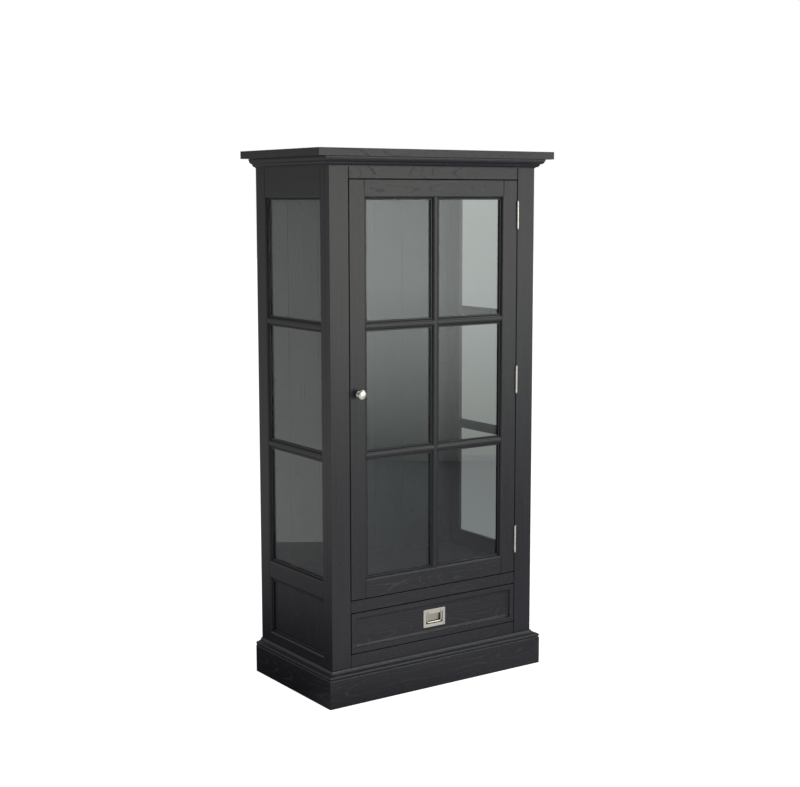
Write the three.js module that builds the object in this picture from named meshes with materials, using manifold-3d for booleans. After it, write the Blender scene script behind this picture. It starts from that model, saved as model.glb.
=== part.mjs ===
// A free-standing glazed display cabinet in black-stained oak: a moulded plinth, a face frame with one
// inset glazed door over one drawer, glazed sides, a grooved back panel and a crown under the top board.
//
// Millimetres, +Z up, the front looks along -Y. The origin is the centre of the footprint, on the floor.
// Inside the model, depth is counted from the front of the face frame, and the last group moves it back.

import * as THREE from 'three';
import { mergeVertices } from 'three/addons/utils/BufferGeometryUtils.js';
import Module from 'manifold-3d';

const wasm = await Module();
wasm.setup();

// ---------------------------------------------------------------- driving dimensions

const WIDTH = 900; // over the top board
const DEPTH = 480; // over the top board
const HEIGHT = 1720;

const GAP = 0.25; // left between pieces that are glued, nailed or screwed together
const REVEAL = 3; // shadow gap round the door and round the drawer front

const TOP_THICKNESS = 24;
const TOP_SIDE_OVERHANG = 55;
const TOP_FRONT_OVERHANG = 34;

const CROWN_HEIGHT = 28.5;
const CROWN_PROJECTION = 26;

const PLINTH_BOARD_HEIGHT = 89;
const PLINTH_CAP_HEIGHT = 24.5;
const PLINTH_PROJECTION = 23.5;

const FACE_STILE = 68.5;
const FACE_TOP_RAIL = 37; // seen below the crown
const FACE_MIDDLE_RAIL = 37.7;
const FACE_BOTTOM_RAIL = 39.4; // seen above the plinth
const FRAME_UNDERSIDE = 60; // lower edge of the rails and the back, hidden by the plinth

const DRAWER_OPENING = 134.4;

const FRAME_THICKNESS = 22; // of the door and of the side frames
const DOOR_SINK = 3; // the face frame is thicker than the door by this
const DOOR_STILE = 53.5;
const DOOR_TOP_RAIL = 49.2;
const DOOR_BOTTOM_RAIL = 55;
const SIDE_FRONT_STILE = 24.2;
const SIDE_BACK_STILE = 55;
const SIDE_MIDDLE_RAIL = 49;
const SIDE_BOTTOM_RAIL = 29.5; // seen above the plinth

const BEAD = 12; // width of the moulding round each pane, and how deep it holds the pane
const BEAD_FILLET = 4.4;
const BEAD_STEP = 6.9; // from the face of the frame down to the fillet
const QUIRK = 0.7;
const MUNTIN = 32.5;
const MUNTIN_SET_BACK = 0.5;
const MUNTIN_LAP = 9.5; // depth at which two crossing muntins are halved together
const PANES_HIGH = 3;

const GLASS = 4;
const SIDE_PANEL = 6;
const BACK_PANEL = 8;
const BACK_BOARD_PITCH = 112.8;
const BACK_GROOVE = 3;
const FLOOR_THICKNESS = 18;
const FLOOR_ABOVE_RAIL = 14; // the floor stands up behind the door as its stop

const DRAWER_FRONT = 24;
const DRAWER_MOULDING = 8;
const DRAWER_RECESS = 9;
const DRAWER_SIDE = 12;
const DRAWER_SIDE_HEIGHT = 100;
const DRAWER_LENGTH = 376;
const DRAWER_SIDE_CLEARANCE = 13; // from the opening to the drawer's sides
const DRAWER_BOTTOM = 6;
const DRAWER_BOTTOM_UP = 7; // from the lower edge of the sides to the bottom
const DRAWER_GROOVE = 4;
const RUNNER_CLEARANCE = 0.3;
const RUNNER_THICKNESS = 18;
const RUNNER_GUIDE = 28;

const KNOB_RADIUS = 15;
const KNOB_LENGTH = 28;
const KNOB_FROM_EDGE = 28.5;
const KNOB_BELOW_MIDDLE = 2;

const HINGE_KNUCKLES = 6;
const HINGE_LEAF_LENGTH = 86;
const HINGE_LEAF_WIDTH = 20;
const HINGE_LEAF = 1.5;
const HINGE_LEAF_GAP = 0.5;
const HINGE_RADIUS = 3.85;
const HINGE_PROUD = 2.5; // from the face of the door out to the pin's centre
const HINGE_PIN_RADIUS = 1.6;
const HINGE_BORE_RADIUS = 1.75;
const HINGE_TIP = 3.5;
const HINGE_FROM_END = 111; // from the end of the door to the middle of the outer hinges

const PULL_WIDTH = 86;
const PULL_HEIGHT = 58.5;
const PULL_MARGIN = 10.45; // of the sunk panel, above and below the plate
const PULL_FLANGE = 2;
const PULL_RIM = 10; // from the edge of the plate to the channel of the bail
const PULL_CHANNEL = 9;
const PULL_CHANNEL_DEPTH = 5.6;
const PULL_DISH_DEPTH = 10;
const PULL_WALL = 1.5;
const PULL_TOP_BAR = 9;
const BAIL_RADIUS = 2.75;
const BAIL_PIN_RADIUS = 1.5;
const BAIL_PIN_CLEARANCE = 0.25;
const BAIL_PIN_LENGTH = 3.5;

const CATCH_ABOVE_MIDDLE = 320;

// ---------------------------------------------------------------- places that follow from them

const FACE_THICKNESS = FRAME_THICKNESS + DOOR_SINK;
const CARCASS_HALF = WIDTH / 2 - TOP_SIDE_OVERHANG;
const CARCASS_DEPTH = DEPTH - TOP_FRONT_OVERHANG;
const CARCASS_TOP = HEIGHT - TOP_THICKNESS;
const FRAME_TOP = CARCASS_TOP - GAP;
const PLINTH_TOP = PLINTH_BOARD_HEIGHT + PLINTH_CAP_HEIGHT;

const OPENING_HALF = CARCASS_HALF - FACE_STILE;
const DRAWER_LOW = PLINTH_TOP + FACE_BOTTOM_RAIL;
const DRAWER_HIGH = DRAWER_LOW + DRAWER_OPENING;
const DOOR_LOW = DRAWER_HIGH + FACE_MIDDLE_RAIL;
const DOOR_HIGH = CARCASS_TOP - CROWN_HEIGHT - FACE_TOP_RAIL;

const DOOR_HALF = OPENING_HALF - REVEAL;
const DOOR_BOTTOM = DOOR_LOW + REVEAL;
const DOOR_TOP = DOOR_HIGH - REVEAL;
const DOOR_MIDDLE = (DOOR_BOTTOM + DOOR_TOP) / 2;
const LIGHT_LOW = DOOR_BOTTOM + DOOR_BOTTOM_RAIL; // edge of the flat face below the panes
const LIGHT_HIGH = DOOR_TOP - DOOR_TOP_RAIL;

const INSIDE_HALF = CARCASS_HALF - FRAME_THICKNESS;
const BACK_FACE = CARCASS_DEPTH - BACK_PANEL;
const INSIDE_FRONT = FACE_THICKNESS + GAP;
const FLOOR_TOP = DOOR_LOW + FLOOR_ABOVE_RAIL;

const HINGE_X = OPENING_HALF - REVEAL / 2;
const HINGE_HEIGHTS = {
  upper: DOOR_TOP - HINGE_FROM_END,
  middle: DOOR_MIDDLE,
  lower: DOOR_BOTTOM + HINGE_FROM_END,
};

const PULL_Z = (DRAWER_LOW + DRAWER_HIGH) / 2;
const DRAWER_BORDER = (DRAWER_OPENING - PULL_HEIGHT) / 2 - REVEAL - PULL_MARGIN - DRAWER_MOULDING;

// ---------------------------------------------------------------- materials

const stainedOak = { color: 0x2b2b2c, roughness: 0.55, metalness: 0 };
const grooveOak = { color: 0x343635, roughness: 0.6, metalness: 0 };
const floatGlass = { color: 0xcfdcd6, roughness: 0.05, metalness: 0, transparent: true, opacity: 0.3 };
const satinNickel = { color: 0xcfc9ba, roughness: 0.35, metalness: 1 };
const darkPlastic = { color: 0x2a2320, roughness: 0.6, metalness: 0 };

// ---------------------------------------------------------------- shapes

// A closed mesh from corner points and triangles, turned so that its faces point out.
function closedMesh(points, faces) {
  let volume = 0;
  for (const [i, j, k] of faces) {
    const [a, b, c] = [points[i], points[j], points[k]].map((p) => new THREE.Vector3(...p));
    volume += a.dot(b.cross(c));
  }
  const outward = volume > 0 ? faces : faces.map(([i, j, k]) => [i, k, j]);
  const geometry = new THREE.BufferGeometry();
  geometry.setAttribute('position', new THREE.Float32BufferAttribute(points.flat(), 3));
  geometry.setIndex(outward.flat());
  return geometry;
}

// A run of moulding: an outline of [across, deep] points, carried from start(across) to end(across),
// so a mitre is an end that depends on the distance across. place turns the three into a point.
function run(outline, start, end, place) {
  const contour = outline.map(([across, deep]) => new THREE.Vector2(across, deep));
  if (THREE.ShapeUtils.isClockWise(contour)) {
    contour.reverse();
  }
  const count = contour.length;
  const points = [];
  for (const at of [start, end]) {
    for (const { x: across, y: deep } of contour) {
      points.push(place(across, deep, at(across)));
    }
  }
  const faces = [];
  for (const [i, j, k] of THREE.ShapeUtils.triangulateShape(contour, [])) {
    faces.push([i, k, j], [count + i, count + j, count + k]);
  }
  for (let i = 0; i < count; i += 1) {
    const next = (i + 1) % count;
    faces.push([i, next, count + next], [i, count + next, count + i]);
  }
  return closedMesh(points, faces);
}

// A board between two opposite corners.
function board([x0, y0, z0], [x1, y1, z1]) {
  const geometry = new THREE.BoxGeometry(Math.abs(x1 - x0), Math.abs(y1 - y0), Math.abs(z1 - z0));
  return geometry.translate((x0 + x1) / 2, (y0 + y1) / 2, (z0 + z1) / 2);
}

// A rod along X, Y or Z, between two places on that axis.
function rod(axis, radius, from, to, segments) {
  const geometry = new THREE.CylinderGeometry(radius, radius, Math.abs(to - from), segments);
  geometry.translate(0, (from + to) / 2, 0);
  if (axis === 'x') {
    geometry.rotateZ(-Math.PI / 2);
  }
  if (axis === 'z') {
    geometry.rotateX(Math.PI / 2);
  }
  return geometry;
}

// A flat shape in X and Z, with thickness from y0 to y1.
function plate(shape, y0, y1) {
  const geometry = new THREE.ExtrudeGeometry(shape, { depth: y1 - y0, bevelEnabled: false, curveSegments: 4 });
  return geometry.rotateX(Math.PI / 2).translate(0, y1, 0);
}

function roundedRectangle(halfWidth, low, high, radius) {
  const shape = new THREE.Shape();
  shape.absarc(halfWidth - radius, high - radius, radius, 0, Math.PI / 2);
  shape.absarc(radius - halfWidth, high - radius, radius, Math.PI / 2, Math.PI);
  shape.absarc(radius - halfWidth, low + radius, radius, Math.PI, 1.5 * Math.PI);
  shape.absarc(halfWidth - radius, low + radius, radius, 1.5 * Math.PI, 2 * Math.PI);
  return shape;
}

// Points along an arc of an ellipse, both ends included, angles in degrees.
function arc(centre, radii, fromDegrees, toDegrees, steps) {
  return Array.from({ length: steps + 1 }, (_, i) => {
    const angle = THREE.MathUtils.degToRad(fromDegrees + ((toDegrees - fromDegrees) * i) / steps);
    return [centre[0] + radii[0] * Math.cos(angle), centre[1] + radii[1] * Math.sin(angle)];
  });
}

function solidOf(geometry) {
  const bare = geometry.clone();
  bare.deleteAttribute('normal');
  bare.deleteAttribute('uv');
  const merged = mergeVertices(bare, 1e-4);
  const vertProperties = new Float32Array(merged.attributes.position.array);
  const triVerts = new Uint32Array(merged.index.array);
  return new wasm.Manifold(new wasm.Mesh({ numProp: 3, vertProperties, triVerts }));
}

function geometryOf(solid) {
  const { vertProperties, triVerts, numProp } = solid.getMesh();
  const geometry = new THREE.BufferGeometry();
  const positions = new Float32Array((vertProperties.length / numProp) * 3);
  for (let i = 0; i < positions.length; i += 1) {
    positions[i] = vertProperties[Math.floor(i / 3) * numProp + (i % 3)];
  }
  geometry.setAttribute('position', new THREE.BufferAttribute(positions, 3));
  geometry.setIndex(Array.from(triVerts));
  return geometry;
}

function join(...geometries) {
  return geometryOf(geometries.map(solidOf).reduce((all, next) => all.add(next)));
}

function cut(geometry, ...tools) {
  return geometryOf(tools.map(solidOf).reduce((left, tool) => left.subtract(tool), solidOf(geometry)));
}

function piece(group, name, geometry, finish) {
  const mesh = new THREE.Mesh(geometry, new THREE.MeshStandardMaterial(finish));
  mesh.name = name;
  group.add(mesh);
  return mesh;
}

// ---------------------------------------------------------------- mouldings

// The crown, as [out, up] from its lower back corner: a fillet, a cavetto, a step, an ovolo, a fillet.
function crownOutline() {
  const high = CROWN_HEIGHT - GAP;
  const out = CROWN_PROJECTION;
  const lowerFillet = 2.5;
  const upperFillet = 5;
  const step = 12.5; // height and projection of the step between the two curves
  return [
    [GAP, 0],
    [lowerFillet, 0],
    [lowerFillet, 2],
    ...arc([lowerFillet + 1, step - 0.5], [step - 3, step - 3.3], -90, -8, 6),
    [step + 1.5, step],
    ...arc([step + 1.5, high - upperFillet], [out - step - 3, high - upperFillet - step], -90, 0, 7).slice(1),
    [out, high - upperFillet],
    [out, high],
    [GAP, high],
  ];
}

// The plinth, as [out, up] from the floor: a flat board, a quirk, a round bead, a cavetto and a lip.
function plinthOutline() {
  const out = PLINTH_PROJECTION;
  const base = PLINTH_BOARD_HEIGHT;
  const top = PLINTH_TOP;
  const bead = 5.6;
  const beadCentre = [out - bead, base + 8];
  return [
    [GAP, 0],
    [out, 0],
    [out, base - 0.5],
    [out - 1.8, base + 1.6],
    [out - 3.6, base + 2.4],
    ...arc(beadCentre, [bead, bead], -55, 115, 9),
    [out - 9.6, top - 10.3],
    ...arc([out - 9.6, top - 1.5], [out - 14, 8.6], -90, -180, 6).slice(1, -1),
    [4.4, top - 2],
    [3.2, top],
    [GAP, top],
  ];
}

// The moulded edge round a pane, as [across, deep] from the edge of the flat face: an ovolo rounding
// away from the face, a quirk and a small fillet, over the lip that holds the pane.
function beadOutline(quirkDepth = QUIRK) {
  const ovolo = BEAD - BEAD_FILLET - QUIRK;
  return [
    [0, 0],
    ...arc([0, BEAD_STEP - QUIRK], [ovolo, BEAD_STEP - QUIRK], -80, 0, 6),
    [ovolo, BEAD_STEP + quirkDepth],
    [ovolo + QUIRK, BEAD_STEP + quirkDepth],
    [ovolo + QUIRK, BEAD_STEP],
    [BEAD - 0.4, BEAD_STEP],
    [BEAD, BEAD_STEP + 0.4],
    [BEAD, BEAD],
    [0, BEAD],
  ];
}

// A muntin's section, as [across, deep] from its middle: a half-round nose between two fillets. With
// grow it is the slightly larger, plain outline that clears the muntin when it is cut away.
function muntinOutline(grow = 0, back = BEAD) {
  const half = MUNTIN / 2 + grow;
  const nose = MUNTIN / 2 - BEAD_FILLET - QUIRK + grow;
  const step = BEAD_STEP - grow;
  const quirk = grow > 0 ? 0 : QUIRK;
  const noseTop = MUNTIN_SET_BACK - grow;
  return [
    [-half, back],
    [-half, step + 0.4],
    [-half + 0.4, step],
    [-nose - QUIRK, step],
    [-nose - QUIRK, step + quirk],
    [-nose, step + quirk],
    ...arc([0, step - quirk], [nose, step - quirk - noseTop], -180, 0, 14),
    [nose, step + quirk],
    [nose + QUIRK, step + quirk],
    [nose + QUIRK, step],
    [half - 0.4, step],
    [half, step + 0.4],
    [half, back],
  ].filter(([x, y], i, all) => i === 0 || Math.hypot(x - all[i - 1][0], y - all[i - 1][1]) > 1e-6);
}

// ---------------------------------------------------------------- glazed frames

// These are used by the door and, turned to face sideways, by both side frames. Each frame is drawn in
// X and Z with its outer face at y = 0. An upright's `toward` is +1 when the panes are on its +X side.

// An upright: its flat face ends at x = edge, with a moulded edge along each of its lights.
function upright(edge, toward, width, low, high, lights) {
  const body = board([edge - toward * width, 0, low], [edge, FRAME_THICKNESS, high]);
  const beads = lights.map(([from, to]) => run(
    beadOutline(),
    (across) => from + across + GAP,
    (across) => to - across - GAP,
    (across, deep, along) => [edge + toward * across, deep, along],
  ));
  return join(body, ...beads);
}

// A rail between two uprights, moulded on the edges that meet a light.
function rail(left, right, low, high, { above = false, below = false }) {
  const parts = [board([left + GAP, 0, low], [right - GAP, FRAME_THICKNESS, high])];
  for (const [wanted, edge, toward] of [[above, high, 1], [below, low, -1]]) {
    if (wanted) {
      parts.push(run(
        beadOutline(),
        (across) => left + across + GAP,
        (across) => right - across - GAP,
        (across, deep, along) => [along, deep, edge + toward * across],
      ));
    }
  }
  return join(...parts);
}

// The solid that copes the end of a muntin over the moulded edge it meets: the same moulding without
// its quirk, moved out by the gap, along the edge at `edge`.
function copeCutter(edge, toward, from, to, upright) {
  const outline = beadOutline(0.1).map(([across, deep]) => [across + GAP, deep - GAP]);
  const wide = [[-1, -1], [GAP, -1], ...outline.slice(1, -2), [BEAD + GAP, BEAD + 1], [-1, BEAD + 1]];
  return run(wide, () => from, () => to, (across, deep, along) => (
    upright ? [edge + toward * across, deep, along] : [along, deep, edge + toward * across]
  ));
}

// Heights of the middles of the horizontal muntins: they share the height of the lights equally.
function muntinHeights() {
  const clear = LIGHT_HIGH - LIGHT_LOW - 2 * BEAD - (PANES_HIGH - 1) * MUNTIN;
  const pane = clear / PANES_HIGH;
  return Array.from({ length: PANES_HIGH - 1 }, (_, i) => (
    LIGHT_LOW + BEAD + (i + 1) * pane + (i + 0.5) * MUNTIN
  ));
}

function horizontalMuntin(left, right, height) {
  const bar = run(
    muntinOutline(),
    () => left + GAP,
    () => right - GAP,
    (across, deep, along) => [along, deep, height + across],
  );
  const reach = MUNTIN;
  return cut(
    bar,
    copeCutter(left, 1, height - reach, height + reach, true),
    copeCutter(right, -1, height - reach, height + reach, true),
  );
}

// A sheet that fills a light from behind, held by the lip of the mouldings.
function infill(left, right, low, high, thickness) {
  const front = BEAD + GAP;
  return board([left + GAP, front, low + GAP], [right - GAP, front + thickness, high - GAP]);
}

// ---------------------------------------------------------------- carcass

function addTop(group) {
  const low = [-WIDTH / 2, -TOP_FRONT_OVERHANG, CARCASS_TOP];
  piece(group, 'top_board', board(low, [WIDTH / 2, CARCASS_DEPTH, HEIGHT]), stainedOak);
}

// A moulding that wraps the front and both sides, mitred at the two front corners.
function addWrap(group, name, outline, base) {
  const across = run(
    outline,
    (out) => -CARCASS_HALF - out + GAP,
    (out) => CARCASS_HALF + out - GAP,
    (out, up, along) => [along, -out, base + up],
  );
  piece(group, `${name}_front`, across, stainedOak);
  for (const [side, hand] of [['left', -1], ['right', 1]]) {
    const back = run(
      outline,
      (out) => -out + GAP,
      () => CARCASS_DEPTH,
      (out, up, along) => [hand * (CARCASS_HALF + out), along, base + up],
    );
    piece(group, `${name}_${side}`, back, stainedOak);
  }
}

// What the hinges take out of the wood beside them: a bed for each leaf and room for the knuckles.
function hingeBeds(hand) {
  const face = HINGE_X + (hand * HINGE_LEAF_GAP) / 2;
  const half = HINGE_LEAF_LENGTH / 2 + GAP;
  const tip = half + HINGE_TIP;
  return Object.values(HINGE_HEIGHTS).flatMap((height) => [
    board(
      [face - hand, -1, height - half],
      [face + hand * (HINGE_LEAF + GAP), HINGE_LEAF_WIDTH + GAP, height + half],
    ),
    rod('z', HINGE_RADIUS + 2 * GAP, -tip, tip, 14).translate(HINGE_X, -HINGE_PROUD, height),
  ]);
}

function addFaceFrame(group) {
  const stile = (hand) => board([hand * OPENING_HALF, 0, 0], [hand * CARCASS_HALF, FACE_THICKNESS, FRAME_TOP]);
  const railBetween = (low, high) => board(
    [-OPENING_HALF + GAP, 0, low],
    [OPENING_HALF - GAP, FACE_THICKNESS, high],
  );
  piece(group, 'face_stile_left', stile(-1), stainedOak);
  piece(group, 'face_stile_right', cut(stile(1), ...hingeBeds(1)), stainedOak);
  piece(group, 'face_rail_top', railBetween(DOOR_HIGH, FRAME_TOP), stainedOak);
  piece(group, 'face_rail_middle', railBetween(DRAWER_HIGH, DOOR_LOW), stainedOak);
  piece(group, 'face_rail_bottom', railBetween(FRAME_UNDERSIDE, DRAWER_LOW), stainedOak);
}

// One side frame. Its group is turned so that its outer face looks sideways, and `front` is the sign
// of local X that leads to the front of the cabinet.
function sideFrame(side) {
  const hand = side === 'left' ? -1 : 1;
  const front = -hand;
  const half = (CARCASS_DEPTH - INSIDE_FRONT) / 2;
  const group = new THREE.Group();
  group.position.set(hand * CARCASS_HALF, INSIDE_FRONT + half, 0);
  group.rotation.z = (hand * Math.PI) / 2;

  const frontEdge = front * (half - SIDE_FRONT_STILE);
  const backEdge = -front * (half - SIDE_BACK_STILE);
  const left = Math.min(frontEdge, backEdge);
  const right = Math.max(frontEdge, backEdge);
  const panelLow = PLINTH_TOP + SIDE_BOTTOM_RAIL;
  const panelHigh = LIGHT_LOW - SIDE_MIDDLE_RAIL;
  const lights = [[LIGHT_LOW, LIGHT_HIGH], [panelLow, panelHigh]];

  const add = (name, geometry, finish) => piece(group, `side_${side}_${name}`, geometry, finish);
  add('stile_front', upright(frontEdge, -front, SIDE_FRONT_STILE, 0, FRAME_TOP, lights), stainedOak);
  add('stile_back', upright(backEdge, front, SIDE_BACK_STILE, 0, FRAME_TOP, lights), stainedOak);
  add('rail_top', rail(left, right, LIGHT_HIGH, FRAME_TOP, { below: true }), stainedOak);
  add('rail_middle', rail(left, right, panelHigh, LIGHT_LOW, { above: true, below: true }), stainedOak);
  add('rail_bottom', rail(left, right, FRAME_UNDERSIDE, panelLow, { above: true }), stainedOak);
  const [lower, upper] = muntinHeights();
  add('muntin_upper', horizontalMuntin(left, right, upper), stainedOak);
  add('muntin_lower', horizontalMuntin(left, right, lower), stainedOak);
  add('glass', infill(left, right, LIGHT_LOW, LIGHT_HIGH, GLASS), floatGlass);
  add('panel', infill(left, right, panelLow, panelHigh, SIDE_PANEL), stainedOak);
  return group;
}

// The back panel: boards with a V groove at every joint, seen from inside.
function addBack(group) {
  const half = INSIDE_HALF - GAP;
  const grooves = [];
  const joints = Math.floor((half - BACK_GROOVE) / BACK_BOARD_PITCH - 0.5) + 1;
  for (let i = -joints; i < joints; i += 1) {
    const middle = (i + 0.5) * BACK_BOARD_PITCH;
    grooves.push(
      [middle - BACK_GROOVE / 2, BACK_FACE],
      [middle, BACK_FACE + BACK_GROOVE / 2],
      [middle + BACK_GROOVE / 2, BACK_FACE],
    );
  }
  const outline = [[-half, BACK_FACE], ...grooves, [half, BACK_FACE], [half, CARCASS_DEPTH], [-half, CARCASS_DEPTH]];
  const panel = run(outline, () => FRAME_UNDERSIDE, () => FRAME_TOP, (x, y, z) => [x, y, z]);
  piece(group, 'back_panel', panel, grooveOak);
}

function addFloorAndRunners(group) {
  const half = INSIDE_HALF - GAP;
  const back = BACK_FACE - GAP;
  const floor = board([-half, INSIDE_FRONT, FLOOR_TOP - FLOOR_THICKNESS], [half, back, FLOOR_TOP]);
  piece(group, 'cabinet_floor', floor, stainedOak);
  for (const [side, hand] of [['left', -1], ['right', 1]]) {
    const guide = OPENING_HALF - DRAWER_SIDE_CLEARANCE + 2 * RUNNER_CLEARANCE;
    const shelf = board(
      [hand * (guide - DRAWER_SIDE - 2), INSIDE_FRONT, DRAWER_LOW - RUNNER_THICKNESS],
      [hand * half, back, DRAWER_LOW],
    );
    const fence = board(
      [hand * guide, INSIDE_FRONT, DRAWER_LOW - RUNNER_THICKNESS],
      [hand * half, back, DRAWER_LOW + RUNNER_GUIDE],
    );
    piece(group, `drawer_runner_${side}`, join(shelf, fence), stainedOak);
  }
}

// A magnetic catch behind the closing edge of the door: a body screwed to the face frame, and a tip.
function addCatch(group) {
  const height = DOOR_MIDDLE + CATCH_ABOVE_MIDDLE;
  const body = board(
    [-OPENING_HALF - 18, INSIDE_FRONT, height - 23],
    [-OPENING_HALF + 22, INSIDE_FRONT + 13, height + 23],
  );
  const tip = board(
    [-OPENING_HALF + 5, FRAME_THICKNESS + 1, height - 18],
    [-OPENING_HALF + 19, INSIDE_FRONT + 5, height + 18],
  );
  piece(group, 'magnetic_catch', join(body, tip), darkPlastic);
}

// ---------------------------------------------------------------- door

function addDoor(group) {
  const edge = DOOR_HALF - DOOR_STILE;
  const lights = [[LIGHT_LOW, LIGHT_HIGH]];
  const stile = (hand) => upright(hand * edge, -hand, DOOR_STILE, DOOR_BOTTOM, DOOR_TOP, lights);
  piece(group, 'door_stile_left', stile(-1), stainedOak);
  piece(group, 'door_stile_right', cut(stile(1), ...hingeBeds(-1)), stainedOak);
  piece(group, 'door_rail_top', rail(-edge, edge, LIGHT_HIGH, DOOR_TOP, { below: true }), stainedOak);
  piece(group, 'door_rail_bottom', rail(-edge, edge, DOOR_BOTTOM, LIGHT_LOW, { above: true }), stainedOak);
  piece(group, 'door_glass', infill(-edge, edge, LIGHT_LOW, LIGHT_HIGH, GLASS), floatGlass);
  addDoorMuntins(group, edge);
  addKnob(group);
}

// The upright muntin is one length. The two that cross it are halved into its back, so each pair
// shares one depth: the upright keeps the front and the crossing one runs through behind.
function addDoorMuntins(group, edge) {
  const heights = muntinHeights();
  const bar = run(
    muntinOutline(),
    () => LIGHT_LOW + GAP,
    () => LIGHT_HIGH - GAP,
    (across, deep, along) => [across, deep, along],
  );
  const halvings = heights.map((height) => board(
    [-MUNTIN, MUNTIN_LAP, height - MUNTIN / 2 - GAP],
    [MUNTIN, BEAD + 1, height + MUNTIN / 2 + GAP],
  ));
  const copes = [
    copeCutter(LIGHT_LOW, 1, -MUNTIN, MUNTIN, false),
    copeCutter(LIGHT_HIGH, -1, -MUNTIN, MUNTIN, false),
  ];
  piece(group, 'door_muntin_vertical', cut(bar, ...copes, ...halvings), stainedOak);

  heights.forEach((height, i) => {
    const passage = run(
      muntinOutline(GAP, MUNTIN_LAP + GAP),
      () => height - MUNTIN,
      () => height + MUNTIN,
      (across, deep, along) => [across, deep, along],
    );
    const name = ['lower', 'upper'][i];
    piece(group, `door_muntin_${name}`, cut(horizontalMuntin(-edge, edge, height), passage), stainedOak);
  });
}

// A turned mushroom knob: a small rose, a waisted neck and a domed head.
function addKnob(group) {
  const rose = 8.8;
  const neck = 4.6;
  const headAt = 21.5; // from the door out to the widest circle of the head
  const profile = [
    [0, GAP],
    [rose - 0.8, GAP],
    [rose, 1.2],
    [rose - 1.2, 2.6],
    [neck + 2, 4],
    [neck + 0.3, 6.5],
    [neck, 10],
    [neck + 1.4, 13.5],
    [KNOB_RADIUS - 4.2, 17],
    [KNOB_RADIUS - 0.9, 19.5],
    ...arc([0, headAt], [KNOB_RADIUS, KNOB_LENGTH - headAt], 0, 90, 7),
  ].map(([radius, out]) => new THREE.Vector2(Math.max(radius, 0), -out));
  profile[profile.length - 1].x = 0;
  const knob = new THREE.LatheGeometry(profile.reverse(), 28);
  const mesh = piece(group, 'door_knob', closed(knob), satinNickel);
  mesh.position.set(-DOOR_HALF + KNOB_FROM_EDGE, 0, DOOR_MIDDLE - KNOB_BELOW_MIDDLE);
}

// A three.js shape with its doubled vertices merged and its triangles of no area dropped.
function closed(geometry) {
  return geometryOf(solidOf(geometry));
}

// ---------------------------------------------------------------- hinges

// One leaf of a butt hinge, with the pin's centre at the origin: the plate in its bed, and every
// second knuckle. `hand` is the side of the pin that the plate lies on.
function hingeLeaf(hand, firstKnuckle) {
  const face = (hand * HINGE_LEAF_GAP) / 2;
  const back = face + hand * HINGE_LEAF;
  const half = HINGE_LEAF_LENGTH / 2;
  const pitch = HINGE_LEAF_LENGTH / HINGE_KNUCKLES;
  const plateStart = HINGE_RADIUS + GAP;
  const parts = [board([face, plateStart, -half], [back, HINGE_LEAF_WIDTH + HINGE_PROUD, half])];
  const bores = [];
  for (let i = firstKnuckle; i < HINGE_KNUCKLES; i += 2) {
    const low = -half + i * pitch + GAP / 2;
    const high = low + pitch - GAP;
    parts.push(rod('z', HINGE_RADIUS, low, high, 14));
    parts.push(board([face, HINGE_BORE_RADIUS + 0.6, low], [back, plateStart + 1, high]));
    bores.push(rod('z', HINGE_BORE_RADIUS, low - 1, high + 1, 14));
  }
  return cut(join(...parts), ...bores);
}

function hingePin() {
  const half = HINGE_LEAF_LENGTH / 2;
  const neck = half + GAP / 2;
  const dome = arc([0, neck + HINGE_TIP - 2], [HINGE_RADIUS, 2], 90, 0, 4);
  const upper = [...dome, [HINGE_RADIUS, neck], [HINGE_PIN_RADIUS, neck]];
  const lower = upper.map(([radius, height]) => [radius, -height]).reverse();
  const profile = [...upper, ...lower].map(([radius, height]) => new THREE.Vector2(radius, height));
  profile[0].x = 0;
  profile[profile.length - 1].x = 0;
  return closed(new THREE.LatheGeometry(profile.reverse(), 14)).rotateX(Math.PI / 2);
}

function addHinges(group) {
  for (const [place, height] of Object.entries(HINGE_HEIGHTS)) {
    const hinge = new THREE.Group();
    hinge.position.set(HINGE_X, -HINGE_PROUD, height);
    piece(hinge, `hinge_${place}_frame_leaf`, hingeLeaf(1, 0), satinNickel);
    piece(hinge, `hinge_${place}_door_leaf`, hingeLeaf(-1, 1), satinNickel);
    piece(hinge, `hinge_${place}_pin`, hingePin(), satinNickel);
    group.add(hinge);
  }
}

// ---------------------------------------------------------------- drawer

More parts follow.
